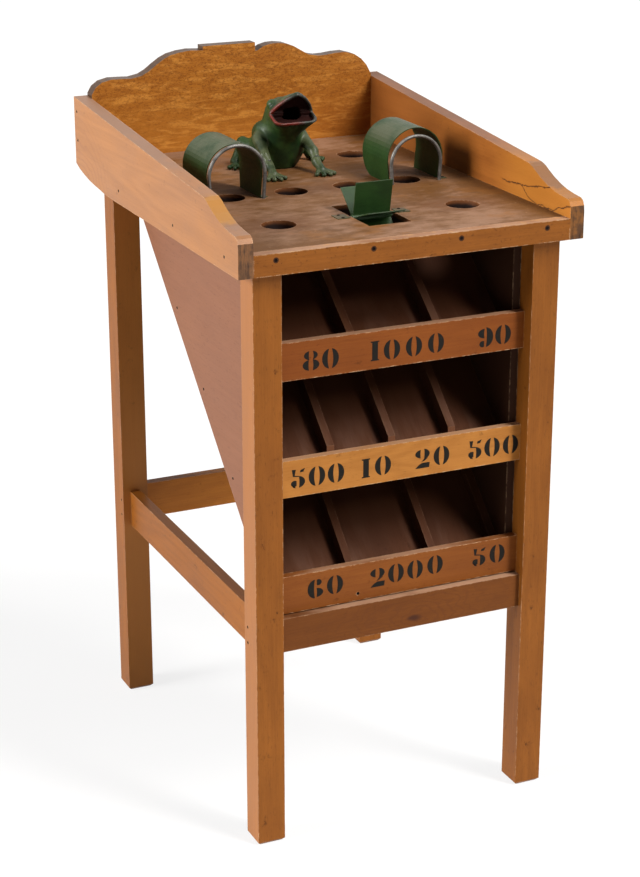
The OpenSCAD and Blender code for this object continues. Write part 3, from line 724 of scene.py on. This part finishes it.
def egg(p, centre, radii):
    """Roughly the distance from an ellipsoid."""
    near = np.sqrt(sum(((p[k] - centre[k]) / radii[k]) ** 2 for k in range(3)))
    far = np.sqrt(sum(((p[k] - centre[k]) / radii[k] ** 2) ** 2 for k in range(3)))
    return near * (near - 1) / np.maximum(far, 1e-6)


def taper(p, a, b, ra, rb):
    """A bar with round ends and two radii."""
    run = [b[k] - a[k] for k in range(3)]
    long = sum(c * c for c in run)
    t = np.clip(sum((p[k] - a[k]) * run[k] for k in range(3)) / long, 0, 1)
    return np.sqrt(sum((p[k] - a[k] - t * run[k]) ** 2 for k in range(3))) - (ra + t * (rb - ra))


def join(a, b, soft):
    """The union of two fields with a fillet."""
    h = np.clip(0.5 + 0.5 * (b - a) / soft, 0, 1)
    return b + (a - b) * h - soft * h * (1 - h)


def jaw_frame(p, jaw):
    """A place from a jaw's hinge: the distance out in the jaw's plane, and the height over it."""
    y, z = p[1] - HINGE[1], p[2] - HINGE[2]
    across, up = math.cos(jaw.rise), math.sin(jaw.rise)
    return -y * across + z * up, y * up + z * across


def rim(side, out, jaw):
    """Signed distance from a jaw's outline in its plane, negative inside."""
    power = jaw.power
    size = ((np.abs(side) / jaw.wide) ** power + (np.abs(out) / jaw.reach) ** power) ** (1 / power)
    return np.sqrt(side ** 2 + out ** 2) * (1 - 1 / np.maximum(size, 0.05))


def rim_point(turn, jaw):
    """A point of a jaw's rim; turn is 0 at the side and 1 in front."""
    a = turn * math.pi / 2
    side = jaw.wide * math.cos(a) ** (2 / jaw.power)
    out = jaw.reach * math.sin(a) ** (2 / jaw.power)
    far = math.hypot(side, out)
    side, out = side * (1 - jaw.inset / far), out * (1 - jaw.inset / far)
    return (side, HINGE[1] - out * math.cos(jaw.rise) + jaw.lift * math.sin(jaw.rise),
            HINGE[2] + out * math.sin(jaw.rise) + jaw.lift * math.cos(jaw.rise))


def jaw_shape(p, half, jaw):
    """A jaw: a round cheek, and ribs to its rim."""
    shape = ball(p, jaw.root, jaw.cheek)
    for k in range(JAW_RIBS):
        shape = join(shape, taper(half, jaw.root, rim_point(k / (JAW_RIBS - 1), jaw), *jaw.rib), 2.5)
    return shape


def jaw_parts(p, jaw):
    """The height over a jaw's plane, the distance from its outline, its round lip, and its hollow."""
    out, up = jaw_frame(p, jaw)
    edge = rim(p[0], out, jaw)
    bead = np.sqrt((edge + LIP_INSET) ** 2 + (up - jaw.side * LIP_RISE) ** 2) - LIP_R
    hollow = np.maximum(np.maximum(edge + HOLLOW_INSET, np.abs(up) - jaw.hollow), 2 - out)
    return up, edge, bead, hollow


def digit(p, root, tip, thick, thin, pad):
    """A finger or a toe, with a round pad at its tip."""
    return join(taper(p, root, tip, thick, thin), ball(p, tip, pad), 1.5)


def foreleg(p):
    arm = join(taper(p, *ARM), taper(p, *FOREARM), 4)
    hand = taper(p, *HAND)
    for side, reach in FINGERS:
        root, tip = (HAND_SIDE + side * 0.3, -80, 6), (HAND_SIDE + side, reach, TIP_RISE)
        hand = join(hand, digit(p, root, tip, *FINGER), 2.2)
    return join(arm, hand, 3)


def hind_leg(p):
    leg = join(taper(p, *THIGH), taper(p, *SHANK), 4)
    foot = taper(p, *FOOT)
    x, y = TOE_MIDDLE
    for turn, reach in TOES:
        turn = math.radians(turn)
        tip = (x + reach * math.cos(turn), y + reach * math.sin(turn), TIP_RISE)
        foot = join(foot, digit(p, TOE_ROOT, tip, *TOE), 2.5)
    return join(leg, foot, 4)


def frog_trunk(p, half):
    """Torso, jaws and eyes."""
    torso = join(taper(p, *TRUNK), egg(p, *BELLY), 8)
    torso = join(torso, ball(p, *RUMP), 8)
    torso = join(torso, egg(half, *FLANK), 8)
    head = join(jaw_shape(p, half, UPPER), ball(half, *BROW), 3)
    head = join(head, ball(half, *EYE), 1.2)
    return join(join(torso, head, 5), jaw_shape(p, half, LOWER), 4)


def cuff(half):
    """The groove round a wrist."""
    x, y, z = (half[k] - CUFF[k] for k in range(3))
    off = np.sqrt(x ** 2 + y ** 2 + z ** 2) - CUFF_R
    return np.sqrt(off ** 2 + (y * CUFF_SLOPE[0] + z * CUFF_SLOPE[1]) ** 2) - CUFF_DEPTH


def part(value, span):
    """How much of a span a value covers, from 0 to 1."""
    return np.clip(value / span, 0, 1)


def frog_field(p):
    """The frog's distances, and how much of each point is lip, red, mouth, worn limb and wrist groove."""
    half = (np.abs(p[0]), p[1], p[2])
    fore = foreleg((np.abs(p[0] + FORELEG_SHIFT), p[1], p[2]))
    groove = cuff(half)
    up_u, edge_u, bead_u, hollow_u = jaw_parts(p, UPPER)
    up_l, edge_l, bead_l, hollow_l = jaw_parts(p, LOWER)
    gap = np.maximum(up_u, -up_l)
    front = HINGE[1] + 3 - p[1]
    beads = np.minimum(np.maximum(bead_u, -front), np.maximum(bead_l, -front))
    hollow = np.minimum(np.minimum(hollow_u, hollow_l), np.minimum(taper(p, *THROAT), taper(p, *GULLET)))
    lumps = np.sin(p[0] * 0.31) * np.sin(p[1] * 0.27 + 1) * np.sin(p[2] * 0.29 + 2)
    body = join(join(frog_trunk(p, half), fore, 6), hind_leg(half), 6)
    body = join(np.maximum(body, -gap), beads, 0.8)
    body = np.maximum(body, -hollow) + LUMPS * lumps
    body = np.maximum(np.maximum(body, -groove), 0.15 - p[2])
    inside = (np.abs(gap) < 1.6) * (beads > 0.8) * (np.maximum(edge_u, edge_l) < -2.5)
    below = part(edge_l + 2.8, 1.2) * part(12 - p[0], 14)
    corner = part(p[1] - HINGE[1] + 20, 10) * (p[0] < 0)
    masks = {"lip": 1 - part(beads, 1.6),
             "red": np.where(bead_l < bead_u, below, corner),
             "mouth": np.maximum(part(1.2 - hollow, 1.2) * (beads > 0.4), inside),
             "limb": 1 - part(fore, 4),
             "groove": 1 - part(groove, 0.8)}
    return body, masks


CORNERS = [np.array((i, j, k)) for i in (0, 1) for j in (0, 1) for k in (0, 1)]
STEPS = np.eye(3, dtype=int)


def net_points(field):
    """A point for each cell that the surface crosses, and each cell's number, -1 where it has no point."""
    inside = field < 0
    size = np.array(field.shape) - 1
    count = sum(inside[c[0]:c[0] + size[0], c[1]:c[1] + size[1], c[2]:c[2] + size[2]].astype(np.int8)
                for c in CORNERS)
    mixed = (count > 0) & (count < len(CORNERS))
    cells = np.argwhere(mixed)
    index = np.full(mixed.shape, -1)
    index[mixed] = np.arange(len(cells))
    total, hits = np.zeros((len(cells), 3)), np.zeros(len(cells))
    for a in CORNERS:
        for step in STEPS[a == 0]:
            b = a + step
            fa, fb = field[tuple((cells + a).T)], field[tuple((cells + b).T)]
            cross = (fa < 0) != (fb < 0)
            t = np.where(cross, fa / np.where(cross, fa - fb, 1), 0)
            total += np.where(cross[:, None], a + t[:, None] * (b - a), 0)
            hits += cross
    return cells + total / hits[:, None], index


def surface_nets(field, low, step):
    """Points and four-sided faces of the surface where a field on a grid is 0, facing its positive side."""
    points, index = net_points(field)
    inside = field < 0
    size = np.array(field.shape) - 1
    faces = []
    for axis in range(3):
        u, v = STEPS[(axis + 1) % 3], STEPS[(axis + 2) % 3]
        edges = np.argwhere(inside != np.roll(inside, -1, axis))
        keep = (edges[:, axis] < size[axis]) & ((edges @ u) > 0) & ((edges @ v) > 0)
        keep &= ((edges @ u) < size @ u) & ((edges @ v) < size @ v)
        edges = edges[keep]
        quads = np.stack([index[tuple((edges - d).T)] for d in (u + v, v, 0 * u, u)], axis=1)
        outward = inside[tuple(edges.T)]
        faces.append(np.where(outward[:, None], quads, quads[:, ::-1]))
    return points * step + low, np.concatenate(faces)


# The frog's colours
FROG_DARK, FROG_GREEN, FROG_WORN = (0.008, 0.021, 0.006), (0.026, 0.055, 0.012), (0.066, 0.073, 0.036)
LIP_DARK, LIP_SCRAPED, LIP_RED = (0.020, 0.021, 0.017), (0.080, 0.076, 0.068), (0.115, 0.013, 0.008)
# Painted shade: near black in the mouth and in the wrist grooves
MOUTH_SHADE, GROOVE_SHADE = (0.020, 0.007, 0.006), (0.01, 0.01, 0.008)
MASKS = ("lip", "red", "mouth", "limb", "groove")


def frog_paint():
    """Dark green oil paint, paler on the forelegs, scraped lips with some red on them, and painted shade: a
    black mouth and black wrist grooves.
    """
    material, tree, shader = start("frog_paint")
    own = own_place(tree)
    masks = {name: node(tree, "Attribute", {"attribute_name": name}).outputs["Fac"] for name in MASKS}
    clouds = texture(tree, own, (38, 38, 38), detail=5.0, rough=0.6)
    grit = texture(tree, own, (300, 300, 300), detail=6.0, rough=0.75)
    colour = mix(tree, ramp(tree, clouds, 0.38, 0.68), FROG_DARK, FROG_GREEN)
    rub = times(tree, masks["limb"], ramp(tree, clouds, 0.30, 0.60))
    colour = lay(tree, colour, FROG_WORN, rub, 0.75)
    colour = lay(tree, colour, FROG_WORN, ramp(tree, grit, 0.60, 0.70), 0.35)
    scrape = times(tree, ramp(tree, masks["lip"], 0.85, 1.0), ramp(tree, clouds, 0.40, 0.56))
    lips = mix(tree, masks["red"], lay(tree, LIP_DARK, LIP_SCRAPED, scrape, 0.6), LIP_RED)
    colour = mix(tree, masks["lip"], colour, lips)
    # Painted shade: the mouth near black, with its sheen turned down, and the wrist grooves near black
    inside = ramp(tree, masks["mouth"], 0.02, 0.3)
    colour = mix(tree, inside, colour, MOUTH_SHADE)
    colour = mix(tree, masks["groove"], colour, GROOVE_SHADE)
    tree.links.new(ramp(tree, inside, 0, 1, PAINT_SHEEN, 0.02), shader.inputs["Specular IOR Level"])
    rough = plus(tree, 0.24, times(tree, grit, 0.35))
    surface(tree, shader, colour, rough, plus(tree, grit, clouds), bump=0.3)
    return material


def make_frog():
    step = FROG_STEP
    low = np.array(FROG_BOX[0]) - 1.0
    counts = np.ceil((np.array(FROG_BOX[1]) + 1 - low) / step).astype(int) + 1
    axes = [low[k] + step * np.arange(counts[k]) for k in range(3)]
    field = frog_field(np.meshgrid(*axes, indexing="ij", sparse=True))[0]
    points, faces = surface_nets(field, low, step)
    verts = points * MM + np.array(at(*FROG_AT))
    made = add_mesh("frog_casting", verts, faces.tolist(), frog_paint(), smooth=True)
    for name, values in frog_field(points.T)[1].items():
        made.data.attributes.new(name, "FLOAT", "POINT").data.foreach_set("value", values.astype(np.float32))
    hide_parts("frog", "frog_legs")


# Stencilled numbers: each glyph is a list of closed outlines in millimetres about its middle, side and height
def lobe(side, cx, cz, wide, high, edge, bow=0.0, n=16):
    """The part of an oval on one side of an upright edge that bows outwards."""
    half = math.acos(max(-1.0, min(1.0, side * (edge - cx) / wide)))
    turns = [half * (2 * k / n - 1) for k in range(n + 1)]
    outer = [(cx + side * wide * math.cos(t), cz + high * math.sin(t)) for t in turns]
    top = high * math.sin(half)
    inner = [(edge + side * bow * (1 - (k / 4) ** 2), cz - top * k / 4) for k in range(-3, 4)]
    return outer + inner


def turned(outlines):
    return [[(-x, -z) for x, z in line] for line in outlines]


NINE = [lobe(1, 0, 0, 11.8, 13.9, 0.9, 1.1), lobe(-1, 0, 5.6, 11.6, 6.9, -1.6, 0.6),
        lobe(-1, -4.4, -9.2, 4.8, 4.5, -1.9)]
GLYPHS = {
    "0": [lobe(side, 0, 0, 12.1, 13.9, side * 2.1, 1.9) for side in (-1, 1)],
    "1": [[(-4.2, 11.9), (-6.3, 11.9), (-6.5, 13.6), (6.3, 13.6), (6.1, 11.9), (4.3, 11.9), (4.3, -11.8),
           (5.9, -11.8), (6.1, -13.5), (-6.4, -13.5), (-6.2, -11.8), (-4.2, -11.8)]],
    "2": [lobe(-1, 0.5, 6.9, 11.6, 6.5, -2.9, 0.3), lobe(1, -0.5, 6.4, 11.4, 7.7, 2.3, 0.7),
          [(1.9, -1.0), (8.6, 0.6), (3.4, -3.4), (-1.8, -5.2)],
          [(-11, -13.8), (10.4, -13.8), (11.2, -6.4), (-0.5, -6.2), (-5.2, -8.6)]],
    "5": [[(-9, 13.4), (-3.2, 12.9), (-4.8, 4.6), (1.2, 3.5), (1.2, 2.2), (-7.5, 3.4)],
          [(10.2, 13.7), (3.4, 11.4), (2.7, 8.3), (7.8, 8.7)], lobe(1, -1, -4.9, 11.2, 8.5, 1.3, 0.6),
          lobe(-1, -5.3, -6.8, 5.1, 4.4, -2.2), [(-9.9, -8.2), (-5, -10.8), (-2.4, -13.4), (-6.6, -12.7)]],
    "6": turned(NINE),
    "8": [lobe(-1, 0, 6.9, 10, 6.4, -2.5, 0.5), lobe(1, 0, 6.9, 9.6, 6.2, 2.6, 1.2),
          lobe(-1, 0, -6.3, 12, 7.6, -3, 0.6), lobe(1, 0, -6.3, 12, 7.7, 2.5, 0.8)],
    "9": NINE}
# Glyph, side of its middle, height of its middle
SCORES = {
    "top": (("8", -134.3, 691.3), ("0", -106.3, 690.4), ("1", -41.4, 691.9), ("0", -16.4, 690.8),
            ("0", 16.4, 690.7), ("0", 49.4, 691.2), ("9", 124.9, 689.4), ("0", 152.0, 690.0)),
    "middle": (("5", -153.4, 529.4), ("0", -125.8, 528.7), ("0", -97.8, 528.6), ("1", -53.3, 528.0),
               ("0", -27.8, 528.3), ("2", 32.1, 528.8), ("0", 61.3, 528.9), ("5", 113.3, 529.3),
               ("0", 140.0, 529.0), ("0", 169.2, 528.4)),
    "bottom": (("6", -128.1, 364.9), ("0", -98.9, 366.0), ("2", -34.4, 364.8), ("0", -6.0, 366.3),
               ("0", 23.5, 366.4), ("0", 54.7, 367.9), ("5", 124.3, 366.9), ("0", 153.2, 367.2))}
SCORE_FACE = 36
PAINT_RISE = 0.12
STENCIL_BLACK, STENCIL_RUBBED = (0.009, 0.008, 0.006), (0.10, 0.045, 0.016)


def stencil_paint():
    """Thin black paint, a little rubbed, so that the wood shows in places."""
    material, tree, shader = start("stencil_paint")
    own = own_place(tree)
    grit = texture(tree, own, (420, 420, 420), detail=5.0, rough=0.7)
    grain = texture(tree, own, (30, 900, 900), detail=4.0)
    rubbed = ramp(tree, plus(tree, grit, times(tree, grain, 0.5)), 0.86, 1.05)
    colour = lay(tree, STENCIL_BLACK, STENCIL_RUBBED, rubbed, 0.6)
    shader.inputs["Specular IOR Level"].default_value = 0.1
    surface(tree, shader, colour, plus(tree, 0.45, times(tree, grit, 0.3)), grain, bump=0.15)
    return material


def slabs(name, outlines, material):
    """Thin closed slabs of paint on the boards' front faces; an outline is a list of side and height."""
    verts, faces = [], []
    for line in outlines:
        area = sum(a[0] * b[1] - b[0] * a[1] for a, b in zip(line, line[1:] + line[:1]))
        line = line if area > 0 else line[::-1]
        first, n = len(verts), len(line)
        for y in (SCORE_FACE - PAINT_RISE, SCORE_FACE + PAINT_RISE):
            verts += [at(x, y, z) for x, z in line]
        front = list(range(first, first + n))
        faces += [front, [k + n for k in reversed(front)]]
        faces += [(b, a, a + n, b + n) for a, b in zip(front, front[1:] + front[:1])]
    add_mesh(name, verts, faces, material)


def make_numbers():
    material = stencil_paint()
    for row, glyphs in SCORES.items():
        outlines = [[(x + cx, z + cz) for x, z in line] for glyph, cx, cz in glyphs for line in GLYPHS[glyph]]
        slabs("score_numbers_" + row, outlines, material)


# Lights far away: turn from the front towards the right, rise, spread in degrees, strength, colour
LIGHTS = (("key_low", 33, 31, 12, 1.1, (1.0, 0.98, 0.95)),
          ("key_middle", 36, 45, 16, 1.9, (1.0, 0.98, 0.95)),
          ("key_high", 40, 61, 18, 1.8, (1.0, 0.98, 0.95)),
          ("side", -94, 21, 26, 4.7, (1.0, 0.985, 0.97)))
LAMP_AWAY = 3
WORLD_LIGHT = 0.08
WHITE = (1, 1, 1, 1)


def make_lamps():
    for name, turn, rise, spread, strength, colour in LIGHTS:
        data = bpy.data.lights.new(name, "SUN")
        data.angle = math.radians(spread)
        data.energy = strength
        data.color = colour
        lamp = bpy.data.objects.new(name, data)
        turn, rise = math.radians(turn), math.radians(rise)
        toward = Vector((math.sin(turn) * math.cos(rise), -math.cos(turn) * math.cos(rise), math.sin(rise)))
        lamp.location = toward * LAMP_AWAY
        lamp.rotation_euler = toward.to_track_quat("Z", "Y").to_euler()
        bpy.context.scene.collection.objects.link(lamp)


def make_world():
    """A faint light from all round, which looks white itself."""
    world = bpy.data.worlds.new("studio")
    bpy.context.scene.world = world
    world.use_nodes = True
    tree = world.node_tree
    tree.nodes.clear()
    path = node(tree, "LightPath").outputs
    reflected = calc(tree, "MAXIMUM", path["Is Glossy Ray"], path["Is Transmission Ray"])
    seen = calc(tree, "MAXIMUM", path["Is Camera Ray"], reflected)
    strength = plus(tree, times(tree, seen, 1 - WORLD_LIGHT), WORLD_LIGHT)
    background = node(tree, "Background", Color=WHITE, Strength=strength)
    output = tree.nodes.new("ShaderNodeOutputWorld")
    tree.links.new(background.outputs[0], output.inputs[0])


FLOOR_HALF = 9.0
FLOOR_GLOW = 0.82
FLOOR_WHITE, FLOOR_BOUNCE = (0.86, 0.86, 0.86), (0.75, 0.75, 0.75)


def floor_white():
    """A white floor that keeps the object's shadow."""
    material, tree, shader = start("floor_white")
    shader.inputs["Roughness"].default_value = 0.9
    glow = node(tree, "Emission", Color=WHITE, Strength=1.0)
    path = node(tree, "LightPath").outputs
    seen = calc(tree, "MAXIMUM", path["Is Camera Ray"], path["Is Glossy Ray"])
    tree.links.new(mix(tree, seen, FLOOR_BOUNCE, FLOOR_WHITE), shader.inputs["Base Color"])
    share = times(tree, seen, FLOOR_GLOW)
    blend = node(tree, "MixShader", _0=share, _1=shader.outputs[0], _2=glow.outputs[0])
    output = next(n for n in tree.nodes if n.bl_idname == "ShaderNodeOutputMaterial")
    tree.links.new(blend.outputs[0], output.inputs[0])
    return material


def make_floor():
    corners = [(x * FLOOR_HALF, y * FLOOR_HALF, 0) for x, y in ((-1, -1), (1, -1), (1, 1), (-1, 1))]
    mesh = bpy.data.meshes.new("floor")
    mesh.from_pydata(corners, [], [(0, 1, 2, 3)])
    mesh.materials.append(floor_white())
    made = bpy.data.objects.new("floor", mesh)
    bpy.context.scene.collection.objects.link(made)


def main():
    bpy.context.scene.view_settings.view_transform = "Standard"
    make_camera()
    make_lamps()
    make_world()
    make_floor()
    dress_wood()
    dress_metal()
    make_frog()
    make_numbers()
    bpy.context.view_layer.update()


main()
